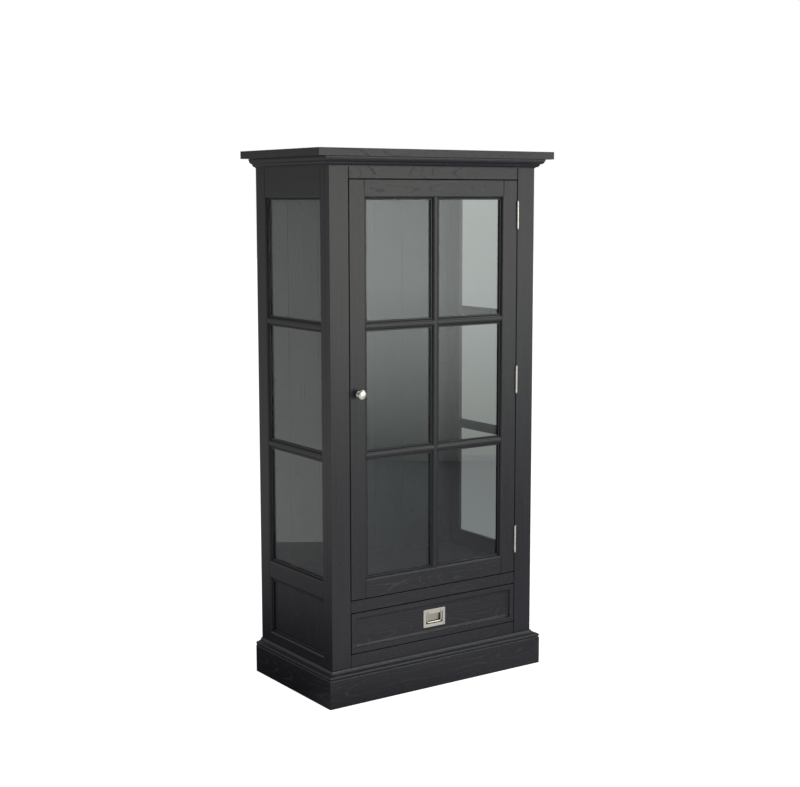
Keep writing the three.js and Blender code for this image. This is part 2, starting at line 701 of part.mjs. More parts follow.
// The drawer front: a flat border and a moulded step down to a sunk panel, drawn as nested
// rectangles of [inset, depth], with a pocket for the pull.
function drawerFront() {
  const halfWidth = OPENING_HALF - REVEAL;
  const low = DRAWER_LOW + REVEAL;
  const high = DRAWER_HIGH - REVEAL;
  const rings = [
    [0, DRAWER_FRONT],
    [0, 0],
    [DRAWER_BORDER, 0],
    [DRAWER_BORDER + 0.6, 1.2],
    ...arc([DRAWER_BORDER + DRAWER_MOULDING - 1, 1.2], [DRAWER_MOULDING - 1.6, DRAWER_RECESS - 2.4], 180, 90, 5),
    [DRAWER_BORDER + DRAWER_MOULDING, DRAWER_RECESS],
  ];
  const points = rings.flatMap(([inset, deep]) => [
    [-halfWidth + inset, deep, low + inset],
    [halfWidth - inset, deep, low + inset],
    [halfWidth - inset, deep, high - inset],
    [-halfWidth + inset, deep, high - inset],
  ]);
  const last = points.length - 4;
  const faces = [[0, 2, 1], [0, 3, 2], [last, last + 1, last + 2], [last, last + 2, last + 3]];
  for (let ring = 0; ring < last; ring += 4) {
    for (let side = 0; side < 4; side += 1) {
      const next = (side + 1) % 4;
      const [a, b] = [ring + side, ring + next];
      faces.push([a, b, b + 4], [a, b + 4, a + 4]);
    }
  }
  const pocket = board(
    [-pullBodyHalf() - GAP, DRAWER_RECESS - 1, PULL_Z - pullBodyRise() - GAP],
    [pullBodyHalf() + GAP, DRAWER_RECESS + pullBodyDepth() + GAP, PULL_Z + pullBodyRise() + GAP],
  );
  return cut(closedMesh(points, faces), pocket);
}

function addDrawerBox(group) {
  const outer = OPENING_HALF - DRAWER_SIDE_CLEARANCE;
  const inner = outer - DRAWER_SIDE;
  const front = DRAWER_FRONT + GAP;
  const back = front + DRAWER_LENGTH;
  const low = DRAWER_LOW + RUNNER_CLEARANCE;
  const high = low + DRAWER_SIDE_HEIGHT;
  const bottomLow = low + DRAWER_BOTTOM_UP;
  const bottomHigh = bottomLow + DRAWER_BOTTOM;
  for (const [side, hand] of [['left', -1], ['right', 1]]) {
    const groove = board(
      [hand * (inner - 1), front - 1, bottomLow - GAP],
      [hand * (inner + DRAWER_GROOVE + GAP), back + 1, bottomHigh + GAP],
    );
    const panel = board([hand * inner, front, low], [hand * outer, back, high]);
    piece(group, `drawer_side_${side}`, cut(panel, groove), stainedOak);
  }
  const backBoard = board(
    [-inner + GAP, back - DRAWER_SIDE, bottomHigh + GAP],
    [inner - GAP, back, high],
  );
  piece(group, 'drawer_back', backBoard, stainedOak);
  const wide = inner + DRAWER_GROOVE;
  piece(group, 'drawer_bottom', board([-wide, front, bottomLow], [wide, back, bottomHigh]), stainedOak);
}

// ---------------------------------------------------------------- drawer pull

// The pull is drawn round its own middle, with y = 0 on the sunk panel of the drawer front.

function pullBodyHalf() {
  return PULL_WIDTH / 2 - PULL_RIM + BAIL_PIN_LENGTH + PULL_WALL;
}

function pullBodyRise() {
  return PULL_HEIGHT / 2 - PULL_RIM / 2 + PULL_WALL - 1;
}

function pullBodyDepth() {
  return PULL_DISH_DEPTH - PULL_FLANGE + PULL_WALL;
}

// The pin of the bail: how high it is in the plate, and how deep.
function bailPin() {
  const channelTop = PULL_HEIGHT / 2 - PULL_RIM / 1.5;
  return { y: PULL_CHANNEL_DEPTH - PULL_FLANGE - BAIL_RADIUS - GAP, z: channelTop - BAIL_RADIUS - 0.8 };
}

// The channel that the bail lies in: a U, open at the top where a bar of the plate stays.
function pullChannel() {
  const half = PULL_WIDTH / 2 - PULL_RIM;
  const low = -PULL_HEIGHT / 2 + PULL_RIM;
  const high = PULL_HEIGHT / 2 - PULL_RIM / 1.5;
  const floor = PULL_CHANNEL_DEPTH - PULL_FLANGE;
  const whole = plate(roundedRectangle(half, low, high, 3), -PULL_FLANGE - 1, floor);
  const barHalf = half - PULL_CHANNEL;
  const bar = board([-barHalf, -PULL_FLANGE - 2, high - PULL_TOP_BAR], [barHalf, floor + 1, high + 1]);
  return cut(whole, bar);
}

function pullDish() {
  const half = PULL_WIDTH / 2 - PULL_RIM - PULL_CHANNEL;
  const low = -PULL_HEIGHT / 2 + PULL_RIM + PULL_CHANNEL;
  const high = PULL_HEIGHT / 2 - PULL_RIM / 1.5 - PULL_TOP_BAR;
  return plate(roundedRectangle(half, low, high, 3), -PULL_FLANGE - 1, PULL_DISH_DEPTH - PULL_FLANGE);
}

function pullPlate() {
  const rise = PULL_HEIGHT / 2;
  const flange = plate(roundedRectangle(PULL_WIDTH / 2, -rise, rise, 2.5), -PULL_FLANGE, -GAP);
  const body = plate(
    roundedRectangle(pullBodyHalf(), -pullBodyRise(), pullBodyRise(), 2),
    -PULL_FLANGE / 2,
    pullBodyDepth(),
  );
  const half = PULL_WIDTH / 2 - PULL_RIM;
  const { y, z } = bailPin();
  const holes = [-1, 1].map((hand) => rod(
    'x',
    BAIL_PIN_RADIUS + BAIL_PIN_CLEARANCE,
    hand * (half - 1),
    hand * (half + BAIL_PIN_LENGTH + GAP),
    14,
  ).translate(0, y, z));
  return cut(join(flange, body), pullChannel(), pullDish(), ...holes);
}

// The bail: a U of round rod that hangs on two short pins.
function pullBail() {
  const { y, z } = bailPin();
  const half = PULL_WIDTH / 2 - PULL_RIM - PULL_CHANNEL / 2;
  const low = -PULL_HEIGHT / 2 + PULL_RIM + PULL_CHANNEL / 2;
  const bend = 7;
  const at = (x, height) => new THREE.Vector3(x, y, height);
  const path = new THREE.CurvePath();
  path.add(new THREE.LineCurve3(at(-half, z), at(-half, low + bend)));
  path.add(new THREE.QuadraticBezierCurve3(at(-half, low + bend), at(-half, low), at(-half + bend, low)));
  path.add(new THREE.LineCurve3(at(-half + bend, low), at(half - bend, low)));
  path.add(new THREE.QuadraticBezierCurve3(at(half - bend, low), at(half, low), at(half, low + bend)));
  path.add(new THREE.LineCurve3(at(half, low + bend), at(half, z)));
  const section = new THREE.Shape().absarc(0, 0, BAIL_RADIUS, 0, 2 * Math.PI);
  const bow = new THREE.ExtrudeGeometry(section, { extrudePath: path, steps: 28, curveSegments: 5 });
  const inner = PULL_WIDTH / 2 - PULL_RIM;
  const ends = [-1, 1].flatMap((hand) => [
    rod('x', BAIL_RADIUS, hand * (half - BAIL_RADIUS), hand * (half + BAIL_RADIUS), 14).translate(0, y, z),
    rod('x', BAIL_PIN_RADIUS, hand * half, hand * (inner + BAIL_PIN_LENGTH), 14).translate(0, y, z),
  ]);
  return join(bow, ...ends);
}

function addDrawer(group) {
  piece(group, 'drawer_front', drawerFront(), stainedOak);
  addDrawerBox(group);
  const pull = new THREE.Group();
  pull.position.set(0, DRAWER_RECESS, PULL_Z);
  piece(pull, 'pull_plate', pullPlate(), satinNickel);
  piece(pull, 'pull_bail', pullBail(), satinNickel);
  group.add(pull);
}

// ---------------------------------------------------------------- the whole cabinet

const cabinet = new THREE.Group();
cabinet.position.y = TOP_FRONT_OVERHANG - DEPTH / 2;

addTop(cabinet);
addWrap(cabinet, 'crown', crownOutline(), CARCASS_TOP - CROWN_HEIGHT);
addWrap(cabinet, 'plinth', plinthOutline(), 0);
addFaceFrame(cabinet);
cabinet.add(sideFrame('left'), sideFrame('right'));
addBack(cabinet);
addFloorAndRunners(cabinet);
addCatch(cabinet);
addDoor(cabinet);
addHinges(cabinet);
addDrawer(cabinet);

const object = new THREE.Group();
object.add(cabinet);

export default object;
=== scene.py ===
# %% [markdown]
# # A glazed display cabinet in black-stained oak
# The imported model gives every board, pane and hinge its exact size and place. This script adds
# what a maker adds after the joinery: stain and lacquer on the oak, clear glass, plated metal,
# and the small parts that hold the glass and the hardware. The script is read from top to
# bottom, one cell at a time. All lengths are metres, the front of the cabinet looks along -Y,
# and Z is up.

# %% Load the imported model
import math
import random

import bmesh
import bpy
from mathutils import Matrix, Vector


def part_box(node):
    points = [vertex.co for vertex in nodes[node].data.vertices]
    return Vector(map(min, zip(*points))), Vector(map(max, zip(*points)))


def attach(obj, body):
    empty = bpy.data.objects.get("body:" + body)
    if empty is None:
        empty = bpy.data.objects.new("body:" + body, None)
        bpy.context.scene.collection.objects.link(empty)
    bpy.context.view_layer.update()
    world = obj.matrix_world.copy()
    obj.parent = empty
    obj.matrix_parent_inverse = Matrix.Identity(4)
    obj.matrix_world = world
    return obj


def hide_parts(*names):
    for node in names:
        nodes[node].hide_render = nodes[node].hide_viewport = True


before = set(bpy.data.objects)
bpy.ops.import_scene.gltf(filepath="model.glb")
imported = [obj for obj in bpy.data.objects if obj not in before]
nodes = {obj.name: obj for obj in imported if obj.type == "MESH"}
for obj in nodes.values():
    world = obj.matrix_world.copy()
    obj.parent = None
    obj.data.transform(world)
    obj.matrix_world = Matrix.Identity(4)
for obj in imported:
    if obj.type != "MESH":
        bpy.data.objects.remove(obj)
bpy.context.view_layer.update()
MM = 0.001

print("boards, panes and fittings:", len(nodes))

# %% [markdown]
# ## Camera
# The cabinet is seen from its front left, from about eye height, so the camera looks a little
# down. A long lens from a few metres away keeps the upright lines nearly parallel, as furniture
# is usually shown. The camera is set first because every later choice of light is judged from
# here.
#
# Everything that Blender shows is an object that holds some data, such as a camera, a light or
# a mesh. One small function makes the object and puts it in the scene, here for the camera and
# later for all.


# %% Camera
def in_scene(name, data):
    """A new object that holds the data, in the scene."""
    made = bpy.data.objects.new(name, data)
    bpy.context.scene.collection.objects.link(made)
    return made


CAMERA_PLACE = Vector((-2.7116, -3.9528, 1.5701))
CAMERA_TURN = math.radians(34.471)  # from straight ahead towards the right
CAMERA_DIP = math.radians(7.575)
CAMERA_ROLL = math.radians(-0.084)
FOCAL_LENGTH = 65.964  # mm, on a sensor 36 mm wide

lens = bpy.data.cameras.new("camera")
lens.lens = FOCAL_LENGTH
lens.sensor_width = 36
camera = in_scene("camera", lens)
looking = Vector((
    math.sin(CAMERA_TURN) * math.cos(CAMERA_DIP),
    math.cos(CAMERA_TURN) * math.cos(CAMERA_DIP),
    -math.sin(CAMERA_DIP),
))
camera.rotation_mode = "QUATERNION"
camera.location = CAMERA_PLACE
camera.rotation_quaternion = looking.to_track_quat("-Z", "Y") @ Matrix.Rotation(
    CAMERA_ROLL, 3, "Z"
).to_quaternion()
bpy.context.scene.camera = camera
bpy.context.scene.view_settings.view_transform = "Standard"
print("camera at", [round(c, 2) for c in CAMERA_PLACE])

# %% [markdown]
# ## Two helpers for materials
# A colour is written as the hex value that an eye-dropper gives. The renderer works with linear
# light, so one function turns hex to linear. One other function adds a shader node, sets it and
# links it, so that a material can be read as a list of steps.


# %% Colours and nodes
def linear(hex_colour, alpha=1.0):
    """An sRGB hex colour as linear light."""
    channels = [int(hex_colour[i : i + 2], 16) / 255 for i in (1, 3, 5)]
    return (
        *(c / 12.92 if c <= 0.04045 else ((c + 0.055) / 1.055) ** 2.4 for c in channels),
        alpha,
    )


def add(tree, kind, inputs=(), **settings):
    """A new node with its settings, and its inputs as values or as sockets to link from."""
    made = tree.nodes.new(kind)
    for name, value in settings.items():
        setattr(made, name, value)
    for name, value in dict(inputs).items():
        if isinstance(value, bpy.types.NodeSocket):
            tree.links.new(value, made.inputs[name])
        else:
            made.inputs[name].default_value = value
    return made


def new_material(name):
    """An empty material, its node tree and its output."""
    made = bpy.data.materials.new(name)
    made.use_nodes = True
    made.node_tree.nodes.clear()
    return made, made.node_tree, add(made.node_tree, "ShaderNodeOutputMaterial")


print("a near-black in linear light:", [round(c, 4) for c in linear("#25242d")])

# %% [markdown]
# ## Black-stained oak
# Oak is a ring-porous wood: each year begins with a band of wide pores, then grows dense. A
# black stain colours both nearly alike, and a satin lacquer lies over it. What is left to see
# is the relief: the pore bands stay a little open, so they scatter light where the dense wood
# shines.
#
# A picture of wood would do, but it would repeat from board to board. Here the year rings are
# grown instead: they are cylinders round the heart of the tree, which runs along the grain and
# wanders. A board cut beside the heart shows arches, and a board cut far from it shows straight
# lines, without any drawing. Each board carries two custom properties that the material reads:
# the place of its own heart, so no two boards match, and its figure, which is how strongly its
# year rings show.
#
# Stained black, the wood has almost no colour. The lacquer is a little yellow, so it is the
# light it mirrors that turns slightly warm, and that goes on the tint of the gloss.

# %% The sizes of the grain
YEAR_RING = 6 * MM  # real oak: 2 to 4 mm; drawn coarser, so that the rings show in the render
PORE_WIDE = 1.5 * MM  # real pores: 0.3 mm across; coarser for the same reason
PORE_LONG = 15 * MM
PORE_DEPTH = 0.10 * MM
WANDER_LENGTH = 420 * MM  # how far along the trunk before its heart has moved to a new place
WANDER_WIDTH = 34 * MM
BULGE = 7 * MM  # how far a year ring leaves its circle
BULGES = (24, 24, 3)  # per metre, across, into and along the trunk
STREAKS = (70, 70, 2.5)  # streaks of stain per metre, in the same order
NEXT_BOARD = 3.7  # metres along the trunk from one board of the back to the next
DENSE_WOOD = "#25242d"
PORE_WOOD = "#585760"

AXES = {"x": ("Y", "Z", "X"), "y": ("X", "Z", "Y"), "z": ("X", "Y", "Z")}
print("year rings", round(YEAR_RING / MM, 1), "mm wide, pores", round(PORE_LONG / MM), "mm long")


# %% Stained oak as a material
def stained_oak(name, along, board_pitch=None, dense=DENSE_WOOD, porous=PORE_WOOD, satin=0.30):
    """Stained oak whose grain runs along x, y or z.

    With a board pitch, the piece looks like boards of that width side by side.
    """
    made, tree, output = new_material(name)
    place = add(tree, "ShaderNodeTexCoord").outputs["Object"]
    heart = add(tree, "ShaderNodeAttribute", attribute_type="OBJECT", attribute_name="heart")
    from_heart = add(tree, "ShaderNodeVectorMath", {0: place, 1: heart.outputs["Vector"]},
                     operation="SUBTRACT").outputs[0]
    parts = add(tree, "ShaderNodeSeparateXYZ", {0: from_heart}).outputs
    across, deep, length = (parts[axis] for axis in AXES[along])
    if board_pitch:
        step = add(tree, "ShaderNodeMath", {0: across, 1: board_pitch},
                   operation="DIVIDE").outputs[0]
        board = add(tree, "ShaderNodeMath", {0: step}, operation="ROUND").outputs[0]
        middle = add(tree, "ShaderNodeMath", {0: board, 1: board_pitch},
                     operation="MULTIPLY").outputs[0]
        across = add(tree, "ShaderNodeMath", {0: across, 1: middle},
                     operation="SUBTRACT").outputs[0]
        length = add(tree, "ShaderNodeMath", {0: board, 1: NEXT_BOARD, 2: length},
                     operation="MULTIPLY_ADD").outputs[0]

    # The heart wanders slowly along the trunk.
    slow = add(tree, "ShaderNodeMath", {0: length, 1: WANDER_LENGTH}, operation="DIVIDE").outputs[0]
    drift = add(tree, "ShaderNodeTexNoise", {"W": slow, "Scale": 1.0, "Detail": 1.0},
                noise_dimensions="1D").outputs["Color"]
    drift = add(tree, "ShaderNodeVectorMath", {0: drift, 1: (0.5, 0.5, 0.5)},
                operation="SUBTRACT").outputs[0]
    drift = add(tree, "ShaderNodeVectorMath",
                {0: drift, 1: (WANDER_WIDTH * 2, WANDER_WIDTH * 2, 0)},
                operation="MULTIPLY").outputs[0]
    trunk = add(tree, "ShaderNodeCombineXYZ", {"X": across, "Y": deep, "Z": length}).outputs[0]
    wavy = add(tree, "ShaderNodeVectorMath", {0: trunk, 1: BULGES}, operation="MULTIPLY").outputs[0]
    wavy = add(tree, "ShaderNodeTexNoise",
               {"Vector": wavy, "Scale": 1.0, "Detail": 2.0}).outputs["Color"]
    wavy = add(tree, "ShaderNodeVectorMath", {0: wavy, 1: (BULGE, BULGE, 0)},
               operation="MULTIPLY").outputs[0]
    ringed = add(tree, "ShaderNodeVectorMath", {0: trunk, 1: drift}, operation="ADD").outputs[0]
    ringed = add(tree, "ShaderNodeVectorMath", {0: ringed, 1: wavy}, operation="ADD").outputs[0]

    # The distance from the heart, counted in year rings.
    flat = add(tree, "ShaderNodeVectorMath", {0: ringed, 1: (1, 1, 0)},
               operation="MULTIPLY").outputs[0]
    radius = add(tree, "ShaderNodeVectorMath", {0: flat}, operation="LENGTH").outputs["Value"]
    years = add(tree, "ShaderNodeMath", {0: radius, 1: YEAR_RING}, operation="DIVIDE").outputs[0]
    season = add(tree, "ShaderNodeMath", {0: years}, operation="FRACT").outputs[0]
    pore_band = add(tree, "ShaderNodeMapRange",
                    {"Value": season, "From Min": 0.02, "From Max": 0.15,
                     "To Min": 1.0, "To Max": 0.0},
                    interpolation_type="SMOOTHSTEP").outputs[0]
    opening = add(tree, "ShaderNodeMapRange",
                  {"Value": season, "From Min": 0.97, "From Max": 1.0,
                   "To Min": 0.0, "To Max": 1.0},
                  interpolation_type="SMOOTHSTEP").outputs[0]
    pore_band = add(tree, "ShaderNodeMath", {0: pore_band, 1: opening},
                    operation="MAXIMUM").outputs[0]

    # Single pores: short slots along the grain, most of them in the pore band.
    slots = add(tree, "ShaderNodeVectorMath",
                {0: trunk, 1: (1 / PORE_WIDE, 1 / PORE_WIDE, 1 / PORE_LONG)},
                operation="MULTIPLY").outputs[0]
    slots = add(tree, "ShaderNodeTexNoise",
                {"Vector": slots, "Scale": 1.0, "Detail": 1.0}).outputs["Fac"]
    slots = add(tree, "ShaderNodeMapRange", {"Value": slots, "From Min": 0.45, "From Max": 0.55},
                interpolation_type="SMOOTHSTEP").outputs[0]
    dashes = add(tree, "ShaderNodeMath", {0: slots, 1: 0.9, 2: 0.1},
                 operation="MULTIPLY_ADD").outputs[0]
    lines = add(tree, "ShaderNodeMath", {0: pore_band, 1: dashes}, operation="MULTIPLY").outputs[0]
    figure = add(tree, "ShaderNodeAttribute", attribute_type="OBJECT", attribute_name="figure")
    lines = add(tree, "ShaderNodeMath", {0: lines, 1: figure.outputs["Fac"]},
                operation="MULTIPLY").outputs[0]
    pores = add(tree, "ShaderNodeMath", {0: slots, 1: 0.10, 2: lines},
                operation="MULTIPLY_ADD").outputs[0]

    # Broad streaks, where the stain went in more or less deeply.
    broad = add(tree, "ShaderNodeVectorMath", {0: trunk, 1: STREAKS},
                operation="MULTIPLY").outputs[0]
    broad = add(tree, "ShaderNodeTexNoise",
                {"Vector": broad, "Scale": 1.0, "Detail": 3.0}).outputs["Fac"]
    tone = add(tree, "ShaderNodeMath", {0: broad, 1: 0.25, 2: -0.08},
               operation="MULTIPLY_ADD").outputs[0]
    tone = add(tree, "ShaderNodeMath", {0: pores, 1: 0.75, 2: tone},
               operation="MULTIPLY_ADD").outputs[0]
    colour = add(tree, "ShaderNodeMix", {0: tone, 6: linear(dense), 7: linear(porous)},
                 data_type="RGBA").outputs[2]
    rough = add(tree, "ShaderNodeMath", {0: pores, 1: 0.55, 2: satin},
                operation="MULTIPLY_ADD").outputs[0]
    bump = add(tree, "ShaderNodeBump", {"Height": pores, "Distance": PORE_DEPTH, "Strength": 0.45},
               invert=True)
    shader = add(tree, "ShaderNodeBsdfPrincipled", {
        "Base Color": colour, "Roughness": rough, "Normal": bump.outputs[0], "IOR": 1.5,
        "Specular Tint": linear("#fffeee"),
    })
    tree.links.new(shader.outputs[0], output.inputs[0])
    return made


oak = {along: stained_oak("stained_oak_grain_" + along, along) for along in "xyz"}
print("materials:", [m.name for m in oak.values()])

# %% [markdown]
# The back is a sheet of oak veneer with grooves, so that it looks like boards side by side. The
# same function makes it, with a new heart for every board. Its colour is a little lighter and
# greyer than the front wood and its satin duller, and its open pores are the darkest thing on it.

# %% The grooved back
BACK_BOARD = 112.8 * MM
BACK_VENEER = "#31353a"
BACK_PORES = "#101214"
BACK_SATIN = 0.42
back_boards = stained_oak("stained_oak_back_boards", "z", BACK_BOARD, BACK_VENEER, BACK_PORES,
                          BACK_SATIN)
print("back boards", round(BACK_BOARD / MM, 1), "mm wide")

# %% [markdown]
# ## Float glass
# Window glass is clear with a breath of green from its iron, and mirrors more the flatter it is
# met. The panes are real sheets 4 mm thick, so one refracting shader does all of that.
# Refracting glass also stops lamps in a path tracer, and the inside would go dark. So rays that
# only ask whether a lamp is seen, and rays that gather light between dull surfaces, pass
# straight through with a light tint.

# %% Float glass
float_glass, tree, output = new_material("float_glass")
sheet = add(tree, "ShaderNodeBsdfPrincipled", {
    "Base Color": linear("#f0f5f2"), "Roughness": 0.0, "IOR": 1.5, "Transmission Weight": 1.0,
})
clear = add(tree, "ShaderNodeBsdfTransparent", {"Color": linear("#eef4f1")})
ray = add(tree, "ShaderNodeLightPath")
either = add(tree, "ShaderNodeMath",
             {0: ray.outputs["Is Shadow Ray"], 1: ray.outputs["Is Diffuse Ray"]},
             operation="MAXIMUM").outputs[0]
pane = add(tree, "ShaderNodeMixShader", {0: either, 1: sheet.outputs[0], 2: clear.outputs[0]})
tree.links.new(pane.outputs[0], output.inputs[0])
print("material:", float_glass.name)

# %% [markdown]
# ## Satin nickel and brown plastic
# The knob, the hinges and the pull are nickel-plated and brushed to a satin. Plating keeps the fine
# scratches of the metal under it, which blur the reflections. The dish of the pull is painted
# darker, its walls dark and its floor a little less so: painted shade in the recess, on plating
# that is duller there too. The magnetic catch is moulded ABS, with the slight orange-peel of a
# spark-eroded mould.


# %% Plated metal and moulded plastic
def plated(name, colour, roughness, grit, scratches=(1, 1, 1), recess=()):
    """Plated metal: a plain colour, with roughness and relief from polishing grit of that size.

    A recess is a list of (place along Y, hex colour): deeper than each place, the colour turns to
    that hex colour, as painted shade in the recess.
    """
    cloud_size, scratch_depth, soft_edge = 18 * MM, 0.02 * MM, 0.4 * MM
    made, tree, output = new_material(name)
    place = add(tree, "ShaderNodeTexCoord").outputs["Object"]
    place = add(tree, "ShaderNodeVectorMath", {0: place, 1: scratches},
                operation="MULTIPLY").outputs[0]
    fine = add(tree, "ShaderNodeTexNoise",
               {"Vector": place, "Scale": 1 / grit, "Detail": 3.0}).outputs["Fac"]
    cloud = add(tree, "ShaderNodeTexNoise",
                {"Vector": place, "Scale": 1 / cloud_size, "Detail": 2.0}).outputs["Fac"]
    rough = add(tree, "ShaderNodeMath", {0: cloud, 1: 0.14, 2: roughness - 0.07},
                operation="MULTIPLY_ADD").outputs[0]
    rough = add(tree, "ShaderNodeMath", {0: fine, 1: 0.08, 2: rough},
                operation="MULTIPLY_ADD").outputs[0]
    bump = add(tree, "ShaderNodeBump",
               {"Height": fine, "Distance": scratch_depth, "Strength": 0.35})
    shader = add(tree, "ShaderNodeBsdfPrincipled", {
        "Base Color": linear(colour), "Metallic": 1.0, "Roughness": rough,
        "Normal": bump.outputs[0],
    })
    tree.links.new(shader.outputs[0], output.inputs[0])
    tone = None
    # Painted shade: deeper than each place along Y, the plating turns to the darker colour.
    for depth, dull in recess:
        deep = add(tree, "ShaderNodeSeparateXYZ",
                   {0: add(tree, "ShaderNodeTexCoord").outputs["Object"]})
        deep = add(tree, "ShaderNodeMapRange",
                   {"Value": deep.outputs["Y"], "From Min": depth - soft_edge,
                    "From Max": depth + soft_edge}).outputs[0]
        tone = add(tree, "ShaderNodeMix", {0: deep, 6: tone or linear(colour), 7: linear(dull)},
                   data_type="RGBA").outputs[2]
    if tone:
        tree.links.new(tone, shader.inputs["Base Color"])
    return made


BRUSHED_ALONG_X = (0.15, 1, 1)
satin_nickel = plated("satin_nickel_plate", "#f4efe2", 0.30, 0.6 * MM)
pull_nickel = plated("brushed_nickel_pull", "#efe8d9", 0.24, 0.5 * MM, BRUSHED_ALONG_X)
PULL_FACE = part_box("pull_plate")[0].y
# Painted shade in the dish of the pull: dark on its walls, only a little darker than the plate on
# its floor.
DISH_WALL_SHADE = (PULL_FACE + 1.2 * MM, "#5d564a")
DISH_FLOOR_SHADE = (PULL_FACE + 8.2 * MM, "#c9c0ae")
pull_plate_shaded = plated("nickel_pull_plate_shaded_dish", "#efe8d9", 0.26, 0.5 * MM, BRUSHED_ALONG_X,
                     [DISH_WALL_SHADE, DISH_FLOOR_SHADE])
screw_steel = plated("nickel_plated_screw", "#c9c2b4", 0.34, 0.4 * MM)

brown_abs, tree, output = new_material("moulded_brown_abs")
place = add(tree, "ShaderNodeTexCoord").outputs["Object"]
peel = add(tree, "ShaderNodeTexNoise", {"Vector": place, "Scale": 1 / (0.8 * MM), "Detail": 2.0})
cast = add(tree, "ShaderNodeMix",
           {0: peel.outputs["Fac"], 6: linear("#2a211c"), 7: linear("#352b25")},
           data_type="RGBA")
skin = add(tree, "ShaderNodeBump",
           {"Height": peel.outputs["Fac"], "Distance": 0.05 * MM, "Strength": 0.4})
shader = add(tree, "ShaderNodeBsdfPrincipled", {
    "Base Color": cast.outputs[2], "Roughness": 0.5, "IOR": 1.54, "Normal": skin.outputs[0],
})
tree.links.new(shader.outputs[0], output.inputs[0])
print("materials:", satin_nickel.name, pull_nickel.name, screw_steel.name, brown_abs.name)

# %% [markdown]
# ## Eased edges
# No edge of a finished board is sharp: it is eased with sandpaper before the stain, and that
# thin round edge catches the light and makes a board look solid. The boards come with hard
# edges, and their own mesh must not change, so modifiers do it: weld the loose corners, join
# the triangles of each flat face, round the edges, and weigh the normals by area so that flat
# faces stay flat.
#
# Geometry nodes do the step that no plain modifier does: they shade every face and edge smooth,
# so that the weighted normals have something to work on.


# %% One set of modifiers for every solid piece
CORNER_TURN = 32  # degrees between two faces, from which their edge counts as a corner
FRAME_EASE = 0.9 * MM
JOINT_EASE = 3.8 * MM  # real joints: about 1 mm; wider, so that the line of the joint shows
WELD_REACH = 0.004 * MM
FLAT_WITHIN = 0.4  # degrees between two triangles that belong to one flat face


def mesh_steps(name):
    """An empty group of geometry nodes, its tree, and the geometry that comes in."""
    steps = bpy.data.node_groups.new(name, "GeometryNodeTree")
    steps.interface.new_socket("Geometry", in_out="INPUT", socket_type="NodeSocketGeometry")
    steps.interface.new_socket("Geometry", in_out="OUTPUT", socket_type="NodeSocketGeometry")
    return steps, add(steps, "NodeGroupInput").outputs[0]


SMOOTH, shape = mesh_steps("shade_smooth")
shape = add(SMOOTH, "GeometryNodeSetShadeSmooth", {0: shape}, domain="FACE").outputs[0]
shape = add(SMOOTH, "GeometryNodeSetShadeSmooth", {0: shape}, domain="EDGE").outputs[0]
add(SMOOTH, "NodeGroupOutput", {0: shape})


def ease(piece, radius, turn=CORNER_TURN, joints=None):
    """Round every edge that turns by more than turn degrees to about that radius.

    With a group of nodes for its joints, the group says for each edge how far it is eased.
    """
    weld = piece.modifiers.new("weld", "WELD")
    weld.merge_threshold = WELD_REACH
    flat = piece.modifiers.new("flat_faces", "DECIMATE")
    flat.decimate_type = "DISSOLVE"
    flat.angle_limit = math.radians(FLAT_WITHIN)
    smooth = piece.modifiers.new("smooth", "NODES")
    smooth.node_group = SMOOTH
    if joints:
        mark = piece.modifiers.new("joint_edges", "NODES")
        mark.node_group = joints
    bevel = piece.modifiers.new("eased_edge", "BEVEL")
    bevel.width = JOINT_EASE if joints else radius
    bevel.segments = 2
    bevel.limit_method = "WEIGHT" if joints else "ANGLE"
    bevel.angle_limit = math.radians(turn)
    bevel.use_clamp_overlap = False
    weigh = piece.modifiers.new("flat_normals", "WEIGHTED_NORMAL")
    weigh.weight = 100
    weigh.keep_sharp = False
    return piece


# %% [markdown]
# Where a rail meets a stile, the ends of the rail are eased further, so that the two boards
# never stand proud of each other and the joint reads as a fine dark line. A bevel can be given
# a weight per edge. Nobody picks those edges by hand here: geometry nodes find them on each
# rail. They lie on the face that is seen, stand upright, and are long enough to be an end and
# not part of a moulding.


